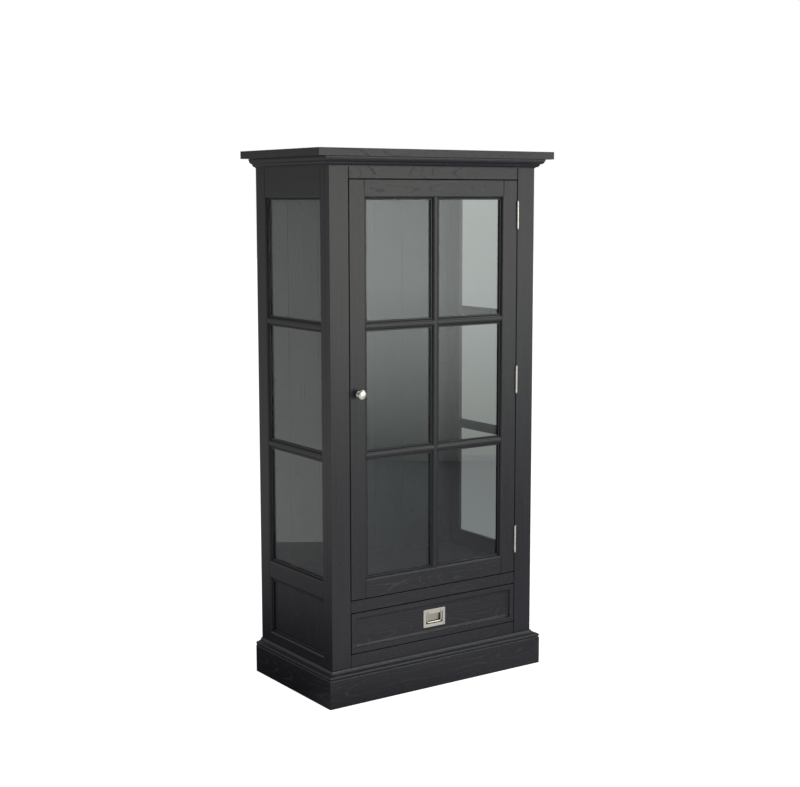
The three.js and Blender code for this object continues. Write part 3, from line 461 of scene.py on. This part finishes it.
# %% Deeper easing where a rail meets a stile
def joint_edges(name, axis, high):
    """Nodes that mark how far each edge is eased, most at the ends of the face that is seen.

    That face looks along the axis: up it if high, down it if not.
    """
    shortest_end, on_the_face, straight = 15 * MM, 0.05 * MM, 0.01 * MM
    plain = FRAME_EASE / JOINT_EASE
    steps, shape = mesh_steps(name)
    box = add(steps, "GeometryNodeBoundBox", {0: shape}).outputs["Max" if high else "Min"]
    level = add(steps, "ShaderNodeSeparateXYZ", {0: box}).outputs[axis]
    ends = add(steps, "GeometryNodeInputMeshEdgeVertices").outputs
    on_face = None
    for end in ("Position 1", "Position 2"):
        at = add(steps, "ShaderNodeSeparateXYZ", {0: ends[end]}).outputs[axis]
        near = add(steps, "ShaderNodeMath", {0: at, 1: level, 2: on_the_face},
                   operation="COMPARE").outputs[0]
        on_face = near if on_face is None else add(
            steps, "ShaderNodeMath", {0: on_face, 1: near}, operation="MULTIPLY").outputs[0]
    run = add(steps, "ShaderNodeVectorMath", {0: ends["Position 1"], 1: ends["Position 2"]},
              operation="SUBTRACT").outputs[0]
    rise = add(steps, "ShaderNodeSeparateXYZ", {0: run}).outputs["Z"]
    rise = add(steps, "ShaderNodeMath", {0: rise}, operation="ABSOLUTE").outputs[0]
    length = add(steps, "ShaderNodeVectorMath", {0: run}, operation="LENGTH").outputs["Value"]
    upright = add(steps, "ShaderNodeMath", {0: rise, 1: length, 2: straight},
                  operation="COMPARE").outputs[0]
    long = add(steps, "ShaderNodeMath", {0: length, 1: shortest_end},
               operation="GREATER_THAN").outputs[0]
    joint = add(steps, "ShaderNodeMath", {0: upright, 1: on_face}, operation="MULTIPLY").outputs[0]
    joint = add(steps, "ShaderNodeMath", {0: joint, 1: long}, operation="MULTIPLY").outputs[0]
    share = add(steps, "ShaderNodeMath", {0: joint, 1: 1 - plain, 2: plain},
                operation="MULTIPLY_ADD").outputs[0]
    turned = add(steps, "GeometryNodeInputMeshEdgeAngle").outputs["Unsigned Angle"]
    turned = add(steps, "ShaderNodeMath", {0: turned, 1: math.radians(CORNER_TURN)},
                 operation="GREATER_THAN").outputs[0]
    share = add(steps, "ShaderNodeMath", {0: share, 1: turned}, operation="MULTIPLY").outputs[0]
    marked = add(steps, "GeometryNodeStoreNamedAttribute",
                 {"Geometry": shape, "Name": "bevel_weight_edge", "Value": share},
                 data_type="FLOAT", domain="EDGE")
    add(steps, "NodeGroupOutput", {0: marked.outputs[0]})
    return steps


JOINTS = {
    "front": joint_edges("joint_edges_front", "Y", False),
    "left": joint_edges("joint_edges_left", "X", False),
    "right": joint_edges("joint_edges_right", "X", True),
}
print("groups of mesh steps:", 1 + len(JOINTS))

# %% [markdown]
# ## Stain and lacquer on every board
# The grain of a board runs along its length, because that is the way it is strong. Rails run
# across and stiles run up. Wide faces are cut beside the heart, for the arches, and stiles are
# cut further out, where the grain is straight and the wood stays true. Rings that are cut
# nearly flat show wide and strong, and rings that are cut square show as faint fine lines, so
# wide faces get more figure.

# %% Which way each board's grain runs
sides = ("left", "right")
grain = {
    "x": ["top_board", "crown_front", "plinth_front", "face_rail_top", "face_rail_middle",
          "face_rail_bottom", "door_rail_top", "door_rail_bottom", "door_muntin_upper",
          "door_muntin_lower", "cabinet_floor", "drawer_front", "drawer_back", "drawer_bottom"],
    "y": [f"{part}_{side}" for part in ("crown", "plinth", "drawer_side", "drawer_runner")
          for side in sides]
         + [f"side_{side}_{part}" for side in sides
            for part in ("rail_top", "rail_middle", "rail_bottom", "muntin_upper", "muntin_lower")],
    "z": [f"{part}_{side}" for part in ("face_stile", "door_stile") for side in sides]
         + [f"side_{side}_{part}" for side in sides
            for part in ("stile_front", "stile_back", "panel")]
         + ["door_muntin_vertical"],
}
print({along: len(names) for along, names in grain.items()})


# %% Where each board's heart lies
def heart_of(name, along, dice):
    """A point on the heart of the tree that the board was cut from, beside its best face."""
    low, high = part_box(name)
    middle = (low + high) / 2
    straight = along == "z" and "panel" not in name
    behind = dice.uniform(40, 80) * MM if straight else dice.uniform(34, 60) * MM
    way = dice.choice((-1, 1))
    beside = way * (dice.uniform(90, 150) if straight else dice.uniform(0, 22)) * MM
    heart = middle.copy()
    if name in ("top_board", "cabinet_floor", "drawer_bottom"):
        heart.z -= behind
        heart.y += beside
    elif name.startswith(("side_left", "plinth_left", "crown_left", "drawer_side_left")):
        heart.x += behind
        heart["xyz".index("z" if along == "y" else "y")] += beside
    elif name.startswith(("side_right", "plinth_right", "crown_right", "drawer_side_right")):
        heart.x -= behind
        heart["xyz".index("z" if along == "y" else "y")] += beside
    else:
        heart.y += behind
        heart["xyz".index("z" if along == "x" else "x")] += beside
    # Metres along the trunk, so that each board has a pattern of its own.
    heart["xyz".index(along)] += dice.uniform(-30, 30)
    return heart


# %% Finish the boards
dice = random.Random(11)  # the same boards every time
SHARP_EASE, BOARD_EASE, BACK_EASE = 0.5 * MM, 1.0 * MM, 0.4 * MM
BACK_HEART = 38 * MM  # from the inner face of the back to the hearts of its boards
BACK_TRUNK = 17.0  # metres up the trunk, for a stretch with good arches
MOULDED = ("crown", "plinth", "muntin", "drawer_front")
WIDE_CUT = ("plinth_front", "plinth_left", "plinth_right", "face_rail_top", "face_rail_bottom",
            "door_rail_top", "door_rail_bottom", "drawer_front", "side_left_panel",
            "side_right_panel", "top_board", "cabinet_floor", "drawer_bottom")
FIGURE = {"wide": 1.0, "plain": 0.3}
for along, names in grain.items():
    for name in names:
        board = nodes[name]
        board.data.materials[0] = oak[along]
        board["heart"] = heart_of(name, along, dice)
        board["figure"] = FIGURE["wide" if name in WIDE_CUT else "plain"]
        if "rail" in name or "stile" in name:
            looks = name.split("_")[1] if name.startswith("side") else "front"
            ease(board, FRAME_EASE, joints=JOINTS[looks] if "rail" in name else None)
        else:
            ease(board, SHARP_EASE if any(word in name for word in MOULDED) else BOARD_EASE)
back = nodes["back_panel"]
back.data.materials[0] = back_boards
back["heart"] = Vector((0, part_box("back_panel")[0].y + BACK_HEART, BACK_TRUNK))
back["figure"] = 1.0
ease(back, BACK_EASE)
print("boards finished:", sum(map(len, grain.values())) + 1)

# %% [markdown]
# ## Glass in its rebates
# The panes only need their material: cut glass has fine ground edges, hidden in the rebates.

# %% Panes
for name in ("door_glass", "side_left_glass", "side_right_glass"):
    nodes[name].data.materials[0] = float_glass
print("panes:", 3)

# %% [markdown]
# ## Fittings that keep their shape
# The hinges, the pull and the catch are right as they come. They get their metal and slightly
# broken edges, finer than those of the wood.

# %% Hinges, pull and catch
HINGE_EASE, PULL_EASE, CATCH_EASE = 0.6 * MM, 0.35 * MM, 0.8 * MM
METAL_TURN = 40  # degrees: the facets of the round knuckles stay as they are
for name, node in nodes.items():
    if name.startswith("hinge_"):
        node.data.materials[0] = satin_nickel
        ease(node, HINGE_EASE, turn=METAL_TURN)
    elif name in ("pull_plate", "pull_bail"):
        node.data.materials[0] = pull_plate_shaded if name == "pull_plate" else pull_nickel
        ease(node, PULL_EASE, turn=METAL_TURN)
nodes["magnetic_catch"].data.materials[0] = brown_abs
ease(nodes["magnetic_catch"], CATCH_EASE)
print("fittings finished")


# %% [markdown]
# ## Turned pieces
# A knob is turned on a lathe, so it is made the same way here: an outline swept once round its
# axis.


# %% A helper that turns an outline
def show(name, mesh, body, slot, *materials):
    """A piece of the object made from a mesh, riding on its body."""
    made = in_scene(name, mesh)
    for material in materials:
        mesh.materials.append(material)
    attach(made, body)
    return made


def turn(shape, outline, foot, axis, steps=64):
    """Adds to a bmesh the outline of (radius, height) points, in mm, swept round the axis."""
    toward = Vector(axis).to_track_quat("Z", "Y")
    rings = []
    for radius, height in outline:
        if radius == 0:
            rings.append([shape.verts.new(foot + toward @ Vector((0, 0, height * MM)))])
            continue
        rings.append([
            shape.verts.new(foot + toward @ Vector((
                radius * MM * math.cos(2 * math.pi * i / steps),
                radius * MM * math.sin(2 * math.pi * i / steps),
                height * MM,
            )))
            for i in range(steps)
        ])
    for low, high in zip(rings, rings[1:]):
        for i in range(steps):
            j = (i + 1) % steps
            corners = [low[i % len(low)], low[j % len(low)], high[j % len(high)],
                       high[i % len(high)]]
            corners = list(dict.fromkeys(corners))
            if len(corners) > 2:
                shape.faces.new(corners)
    return shape


def finished(shape, name):
    """The bmesh as a mesh with its faces turned out and shaded smooth."""
    bmesh.ops.recalc_face_normals(shape, faces=shape.faces)
    for face in shape.faces:
        face.smooth = True
    mesh = bpy.data.meshes.new(name)
    shape.to_mesh(mesh)
    shape.free()
    return mesh


# %% The knob
KNOB_OUTLINE = [  # (radius, height) in mm: a foot, a waist with a ring, and a lens-shaped head
    (0, 0), (8.1, 0), (8.7, 0.3), (8.8, 0.9), (8.8, 2.1), (8.5, 2.7), (7.6, 3.0), (6.4, 3.6),
    (5.4, 4.9), (4.8, 6.8), (4.6, 8.9), (4.7, 10.6), (6.3, 11.2), (6.5, 12.2), (6.3, 13.2),
    (4.9, 13.8), (4.7, 15.4), (5.2, 17.4), (7.4, 18.8), (11.0, 19.8), (13.8, 20.8), (14.95, 22.2),
    (14.8, 23.8), (13.4, 25.2), (10.6, 26.4), (7.2, 27.2), (3.6, 27.6), (0, 27.75),
]
knob_low, knob_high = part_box("door_knob")
knob_foot = Vector(((knob_low.x + knob_high.x) / 2, knob_high.y, (knob_low.z + knob_high.z) / 2))
knob_mesh = finished(turn(bmesh.new(), KNOB_OUTLINE, knob_foot, (0, -1, 0)), "turned_knob")
knob = show("turned_knob", knob_mesh, "door", "satin_nickel", satin_nickel)
rounder = knob.modifiers.new("rounder", "SUBSURF")
rounder.levels = rounder.render_levels = 2
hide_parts("door_knob")
print("knob faces:", len(knob_mesh.polygons))

# %% [markdown]
# ## Glazing beads
# A pane drops into a rebate from the inside and is held by four thin strips, mitred at the
# corners and pinned. They show when the door is open, and through the side windows. Each strip
# is a small quarter-round: flat against the rebate, round towards the light.

# %% A helper for a mitred set of four strips
BEAD_WIDE = 11.3 * MM
BEAD_ROUND = 3.6 * MM
BEAD_EASE = 0.3 * MM
MITRE_GAP = 0.05 * MM
BEAD_HEART = (70 * MM, 60 * MM)  # beside and behind the pane
BEAD_TRUNK = 9.0  # metres along the trunk


def bead_outline(wide, deep, rounding):
    """(across, deep) points: the rebate at 0, the glass at depth 0, a quarter round on the edge."""
    arc = [
        (wide - rounding + rounding * math.sin(a), deep - rounding + rounding * math.cos(a))
        for a in (math.radians(90 * i / 8) for i in range(9))
    ]
    return [(0, 0), (0, deep), *arc, (wide, 0)]


def bead_set(name, low, high, normal, glass_face, deep, body):
    """Four mitred strips inside a rectangle.

    normal is 0 for a pane that faces X and 1 for one that faces Y. deep is the depth of the
    strips from the face of the glass, with the sign of the way they stand out from it.
    """
    wall = 1 - normal  # the level direction in the plane of the pane
    into = math.copysign(1, deep)
    shape = bmesh.new()
    outline = bead_outline(BEAD_WIDE, abs(deep), BEAD_ROUND)
    spans = [(low[wall], high[wall]), (low[2], high[2])]
    for level in (0, 1):  # 0: the strips that run level, 1: the strips that stand
        run_low, run_high = spans[level]
        edge_low, edge_high = spans[1 - level]
        for edge, inward in ((edge_low, 1), (edge_high, -1)):
            ends = []
            for end, back in ((run_low, 1), (run_high, -1)):
                ring = []
                for across, depth in outline:
                    point = [0.0, 0.0, 0.0]
                    point[normal] = glass_face + into * depth
                    point[wall if level == 0 else 2] = end + back * (across + MITRE_GAP)
                    point[2 if level == 0 else wall] = edge + inward * across
                    ring.append(shape.verts.new(point))
                ends.append(ring)
            count = len(outline)
            made = [shape.faces.new(ends[0]), shape.faces.new(reversed(ends[1]))]
            for i in range(count):
                j = (i + 1) % count
                made.append(shape.faces.new((ends[0][j], ends[0][i], ends[1][i], ends[1][j])))
            for face in made:
                face.material_index = level
    bmesh.ops.recalc_face_normals(shape, faces=shape.faces)
    mesh = bpy.data.meshes.new(name)
    shape.to_mesh(mesh)
    shape.free()
    strips = show(name, mesh, body, "stained_oak", oak["y" if normal == 0 else "x"], oak["z"])
    strips["heart"] = Vector((high[0] + BEAD_HEART[0], high[1] + BEAD_HEART[1], BEAD_TRUNK))
    strips["figure"] = FIGURE["plain"]
    return ease(strips, BEAD_EASE)


# %% Beads behind every pane
BEAD_AIR = 0.15 * MM
low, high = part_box("door_glass")
frame_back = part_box("door_rail_top")[1].y
bead_set("door_glazing_beads", low, high, 1, high.y + BEAD_AIR,
         frame_back - high.y - 3 * BEAD_AIR, "door")
for side, inner, out in (("left", 1, 1), ("right", 0, -1)):
    low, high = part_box(f"side_{side}_glass")
    glass_face = (low, high)[inner].x
    frame_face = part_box(f"side_{side}_rail_top")[inner].x
    bead_set(f"side_{side}_glazing_beads", low, high, 0, glass_face + out * BEAD_AIR,
             frame_face - glass_face - out * 3 * BEAD_AIR, "cabinet")
print("sets of beads:", 3)

# %% [markdown]
# ## Screws and the strike plate
# Small countersunk screws hold the hinges, the pull and the strike plate of the catch. A screw
# head is turned too, and its cross recess is sunk into the top by cutting a cross away from the
# turned head.

# %% A helper for countersunk screws
CROSS = (2.9, 0.62, 1.2)  # mm long, wide and deep
HEAD = [(0, -1.4), (1.3, -1.4), (2.62, -0.06), (2.74, 0.02), (2.6, 0.08), (1.6, 0.15), (0, 0.17)]


def screws(name, places, axis, size, body):
    """Countersunk screw heads at those places, flush with the surface that faces along the axis."""
    shape = bmesh.new()
    for place in places:
        turn(shape, [(r * size, h) for r, h in HEAD], Vector(place), axis, steps=28)
    heads = show(name, finished(shape, name), body, "satin_nickel", screw_steel)
    shape = bmesh.new()
    toward = Vector(axis).to_track_quat("Z", "Y").to_matrix().to_4x4()
    for place in places:
        for turned in (45, 135):
            bar = Matrix.Translation(place) @ toward @ Matrix.Rotation(math.radians(turned), 4, "Z")
            bar = bar @ Matrix.Diagonal((CROSS[0] * size * MM, CROSS[1] * size * MM,
                                         CROSS[2] * MM, 1))
            bmesh.ops.create_cube(shape, size=1, matrix=bar)
    cross = bpy.data.meshes.new(name + "_cross")
    shape.to_mesh(cross)
    shape.free()
    cutter = in_scene(name + "_cross", cross)
    sink = heads.modifiers.new("cross_recess", "BOOLEAN")
    sink.object = cutter
    sink.operation = "DIFFERENCE"
    sink.use_self = True
    bpy.context.view_layer.update()
    heads_cut = heads.evaluated_get(bpy.context.evaluated_depsgraph_get())
    cut = bpy.data.meshes.new_from_object(heads_cut)
    heads.modifiers.clear()
    heads.data = cut
    bpy.data.objects.remove(cutter)
    return heads


# %% Screws of the hinges
LEAF_GAP = 0.25 * MM  # from the pin's plane to the face of each leaf
HOLE_HEIGHTS = (-33, -12, 12, 33)  # mm from the middle of the hinge
HOLE_SETBACKS = (11.5, 6.5)  # mm from the back edge of the leaf, in turn, to spare the grain
HINGE_SCREW, PULL_SCREW, STRIKE_SCREW = 0.95, 0.66, 0.8  # sizes beside that of the drawn head
for level in ("upper", "middle", "lower"):
    low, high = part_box(f"hinge_{level}_pin")
    pin_x, middle_z = (low.x + high.x) / 2, (low.z + high.z) / 2
    leaf_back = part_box(f"hinge_{level}_door_leaf")[1].y
    holes = [(leaf_back - HOLE_SETBACKS[i % 2] * MM, middle_z + z * MM)
             for i, z in enumerate(HOLE_HEIGHTS)]
    screws(f"hinge_{level}_door_screws", [(pin_x - LEAF_GAP, y, z) for y, z in holes],
           (1, 0, 0), HINGE_SCREW, "door")
    screws(f"hinge_{level}_frame_screws", [(pin_x + LEAF_GAP, y, z) for y, z in holes],
           (-1, 0, 0), HINGE_SCREW, "cabinet")
print("hinge screws:", 3 * 2 * 4)

# %% Screws of the pull
low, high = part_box("pull_plate")
CORNER = 5.2 * MM
screws("pull_screws", [(x, low.y, z) for x in (low.x + CORNER, high.x - CORNER)
                       for z in (low.z + CORNER, high.z - CORNER)],
       (0, -1, 0), PULL_SCREW, "drawer")
print("pull screws:", 4)

# %% [markdown]
# The strike plate is the steel that the magnet pulls: stamped from thin sheet with round
# corners, and screwed to the back of the door straight across from the tip of the catch.

# %% The strike plate
TIP_FROM_SIDE = 30 * MM  # from the left side of the catch to the middle of its tip
HALF_WIDE, HALF_HIGH, ROUND = 7.5 * MM, 14 * MM, 2.5 * MM
SHEET, SCREW_SEAT, STRIKE_EASE = 0.7 * MM, 0.6 * MM, 0.15 * MM
low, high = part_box("magnetic_catch")
door_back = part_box("door_stile_left")[1].y
shape = bmesh.new()
stamped = [
    (x * (HALF_WIDE - ROUND) + ROUND * math.cos(math.radians(start + 15 * k)),
     z * (HALF_HIGH - ROUND) + ROUND * math.sin(math.radians(start + 15 * k)))
    for x, z, start in ((1, 1, 0), (-1, 1, 90), (-1, -1, 180), (1, -1, 270))
    for k in range(7)
]
middle_x, middle_z = low.x + TIP_FROM_SIDE, (low.z + high.z) / 2
face = shape.faces.new([shape.verts.new((middle_x + x, door_back, middle_z + z))
                        for x, z in stamped])
pushed = bmesh.ops.extrude_face_region(shape, geom=[face])
bmesh.ops.translate(shape, verts=[v for v in pushed["geom"] if isinstance(v, bmesh.types.BMVert)],
                    vec=(0, SHEET, 0))
plate_mesh = finished(shape, "strike_plate")
for polygon in plate_mesh.polygons:
    polygon.use_smooth = False
strike = show("strike_plate", plate_mesh, "door", "satin_nickel", screw_steel)
ease(strike, STRIKE_EASE)
screws("strike_plate_screw", [(middle_x, door_back + SCREW_SEAT, middle_z)],
       (0, 1, 0), STRIKE_SCREW, "door")
print("strike plate under the catch at z", round(middle_z, 3))


# %% [markdown]
# ## The studio
# A black cabinet has hardly any colour of its own: what the eye sees is what it mirrors. So the
# light is built from large cards round a pale floor. The card to the front right is bright at
# the top and dim at the foot, which gives the sheen that fades down the door. Two dimmer ones
# behind give the glass something to show. The camera sees none of them.
#
# A card could be an area light, but an area light is equally bright all over. A plane that
# glows can have its own gradient.


# %% A helper for a card of light
def card(name, place, width, height, facing, low, high, full_at, across=0.0, tint="#ffffff"):
    """An upright glowing card with its foot at place, facing a point.

    Its brightness goes from low at the foot to high at the height full_at, and changes by a
    share of across from the middle to each end.
    """
    reach = 0.7  # metres from the middle to where the change across is complete
    shape = bmesh.new()
    corners = [shape.verts.new((x * width / 2, 0, z))
               for x, z in ((-1, 0), (1, 0), (1, height), (-1, height))]
    shape.faces.new(corners)
    mesh = bpy.data.meshes.new(name)
    shape.to_mesh(mesh)
    shape.free()
    made = in_scene(name, mesh)
    made.location = place
    away = Vector(facing) - Vector(place)
    made.rotation_euler = (0, 0, math.atan2(away.y, away.x) + math.pi / 2)
    made.visible_camera = made.visible_shadow = False
    glow, tree, output = new_material(name)
    parts = add(tree, "ShaderNodeSeparateXYZ",
                {0: add(tree, "ShaderNodeTexCoord").outputs["Object"]}).outputs
    power = add(tree, "ShaderNodeMapRange",
                {"Value": parts["Z"], "From Max": full_at,
                 "To Min": low, "To Max": high}).outputs[0]
    level = add(tree, "ShaderNodeMapRange",
                {"Value": parts["X"], "From Min": -reach, "From Max": reach,
                 "To Min": 1 - across, "To Max": 1 + across}).outputs[0]
    power = add(tree, "ShaderNodeMath", {0: power, 1: level}, operation="MULTIPLY").outputs[0]
    behind = add(tree, "ShaderNodeNewGeometry").outputs["Backfacing"]
    light = add(tree, "ShaderNodeEmission", {"Color": linear(tint), "Strength": power})
    nothing = add(tree, "ShaderNodeBsdfTransparent")
    both = add(tree, "ShaderNodeMixShader", {0: behind, 1: light.outputs[0], 2: nothing.outputs[0]})
    tree.links.new(both.outputs[0], output.inputs[0])
    mesh.materials.append(glow)
    return made


# %% The cards
card("card_front_right", (2.4, -3.5, 0.0), width=4.4, height=2.3, facing=(0, -0.2, 0),
     low=0.44, high=2.36, full_at=1.05, across=0.30, tint="#fbfffe")
card("card_back_left", (-2.47, 1.08, 0.0), width=3.0, height=2.2, facing=(-1.37, -0.62, 0),
     low=0.60, high=0.34, full_at=2.2)
card("card_back_right", (2.6, 3.2, 0.0), width=3.6, height=2.6, facing=(0.4, 0, 0),
     low=0.26, high=0.51, full_at=2.6)
print("cards:", 3)

# %% [markdown]
# Mouldings are seen by the thin bright line along the edge that tilts up. That line is a
# reflection of a lamp overhead, so one soft box hangs where the tilted edges mirror it and the
# upright faces do not.

# %% A soft box overhead
box_light = bpy.data.lights.new("overhead_softbox", "AREA")
box_light.shape = "RECTANGLE"
box_light.size, box_light.size_y = 1.6, 1.0
box_light.energy = 17
box_light.color = linear("#e7f5ff")[:3]
softbox = in_scene("overhead_softbox", box_light)
softbox.location = (1.75, -1.2, 2.6)
softbox.visible_camera = False
print("overhead light:", box_light.energy, "W")

# %% [markdown]
# ## Floor and air
# The floor is pale to the eye, but in a studio the cabinet and the stands shade it, and beyond
# the paper the room is dark. So there are two floors in one: the camera sees an even pale one,
# and every other ray meets a dull grey one, darkest round the foot of the cabinet, with a soft
# glow further out. The air works the same way: white to the camera, and to every other ray dim
# below and brighter overhead.

# %% The floor
FLOOR_HALF = 30  # metres from the middle to each side
SHADE_MIDDLE = (-0.3, 0.4, 0)  # the middle of the cabinet's own shade
shape = bmesh.new()
shape.faces.new([shape.verts.new((x * FLOOR_HALF, y * FLOOR_HALF, 0))
                 for x, y in ((-1, -1), (1, -1), (1, 1), (-1, 1))])
floor_mesh = bpy.data.meshes.new("studio_floor")
shape.to_mesh(floor_mesh)
shape.free()
floor = in_scene("studio_floor", floor_mesh)
print("floor", 2 * FLOOR_HALF, "m wide")

# %% What the floor gives back
floor_paint, tree, output = new_material("pale_floor")
place = add(tree, "ShaderNodeTexCoord").outputs["Object"]
away = add(tree, "ShaderNodeVectorMath", {0: place, 1: SHADE_MIDDLE},
           operation="DISTANCE").outputs["Value"]
away = add(tree, "ShaderNodeMapRange", {"Value": away, "From Min": 0.4, "From Max": 1.0},
           interpolation_type="SMOOTHSTEP").outputs[0]
ahead = add(tree, "ShaderNodeVectorMath", {0: place, 1: (1, 0.5, 0)},
            operation="DOT_PRODUCT").outputs["Value"]
ahead = add(tree, "ShaderNodeMapRange", {"Value": ahead, "From Min": -0.2, "From Max": 0.9,
                                         "To Min": 0.5, "To Max": 0.06}).outputs[0]
share = add(tree, "ShaderNodeSeparateXYZ", {0: place}).outputs["Y"]
share = add(tree, "ShaderNodeMapRange", {"Value": share, "From Min": -0.6,
                                         "From Max": 0.6}).outputs[0]
glow = add(tree, "ShaderNodeMix", {0: share, 2: ahead, 3: 0.16}).outputs[0]
glow = add(tree, "ShaderNodeMath", {0: away, 1: glow}, operation="MULTIPLY").outputs[0]
grey = add(tree, "ShaderNodeMapRange", {"Value": away, "To Min": 0.10, "To Max": 0.26}).outputs[0]
dull = add(tree, "ShaderNodeBsdfDiffuse", {"Color": grey})
sheen = add(tree, "ShaderNodeEmission", {"Color": linear("#f8f8ff"), "Strength": glow})
dull = add(tree, "ShaderNodeAddShader", {0: dull.outputs[0], 1: sheen.outputs[0]})
pale = add(tree, "ShaderNodeBsdfDiffuse", {"Color": linear("#e7e7e7")})
lift = add(tree, "ShaderNodeEmission", {"Color": linear("#ffffff"), "Strength": 0.92})
seen = add(tree, "ShaderNodeAddShader", {0: pale.outputs[0], 1: lift.outputs[0]})
ray = add(tree, "ShaderNodeLightPath")
both = add(tree, "ShaderNodeMixShader", {0: ray.outputs["Is Camera Ray"], 1: dull.outputs[0],
                                         2: seen.outputs[0]})
tree.links.new(both.outputs[0], output.inputs[0])
floor_mesh.materials.append(floor_paint)
print("material:", floor_paint.name)

# %% The air
world = bpy.data.worlds.new("studio_air")
world.use_nodes = True
tree = world.node_tree
tree.nodes.clear()
output = add(tree, "ShaderNodeOutputWorld")
ray = add(tree, "ShaderNodeLightPath")
upward = add(tree, "ShaderNodeTexCoord").outputs["Generated"]
upward = add(tree, "ShaderNodeSeparateXYZ", {0: upward}).outputs["Z"]
overhead = add(tree, "ShaderNodeMapRange", {"Value": upward, "From Min": 0.35, "To Min": 0.12,
                                            "To Max": 0.38},
               interpolation_type="SMOOTHSTEP").outputs[0]
dim = add(tree, "ShaderNodeBackground", {"Color": linear("#ffffff"), "Strength": overhead})
bright = add(tree, "ShaderNodeBackground", {"Color": linear("#ffffff"), "Strength": 1.0})
both = add(tree, "ShaderNodeMixShader", {0: ray.outputs["Is Camera Ray"], 1: dim.outputs[0],
                                         2: bright.outputs[0]})
tree.links.new(both.outputs[0], output.inputs[0])
bpy.context.scene.world = world
print("world:", world.name)
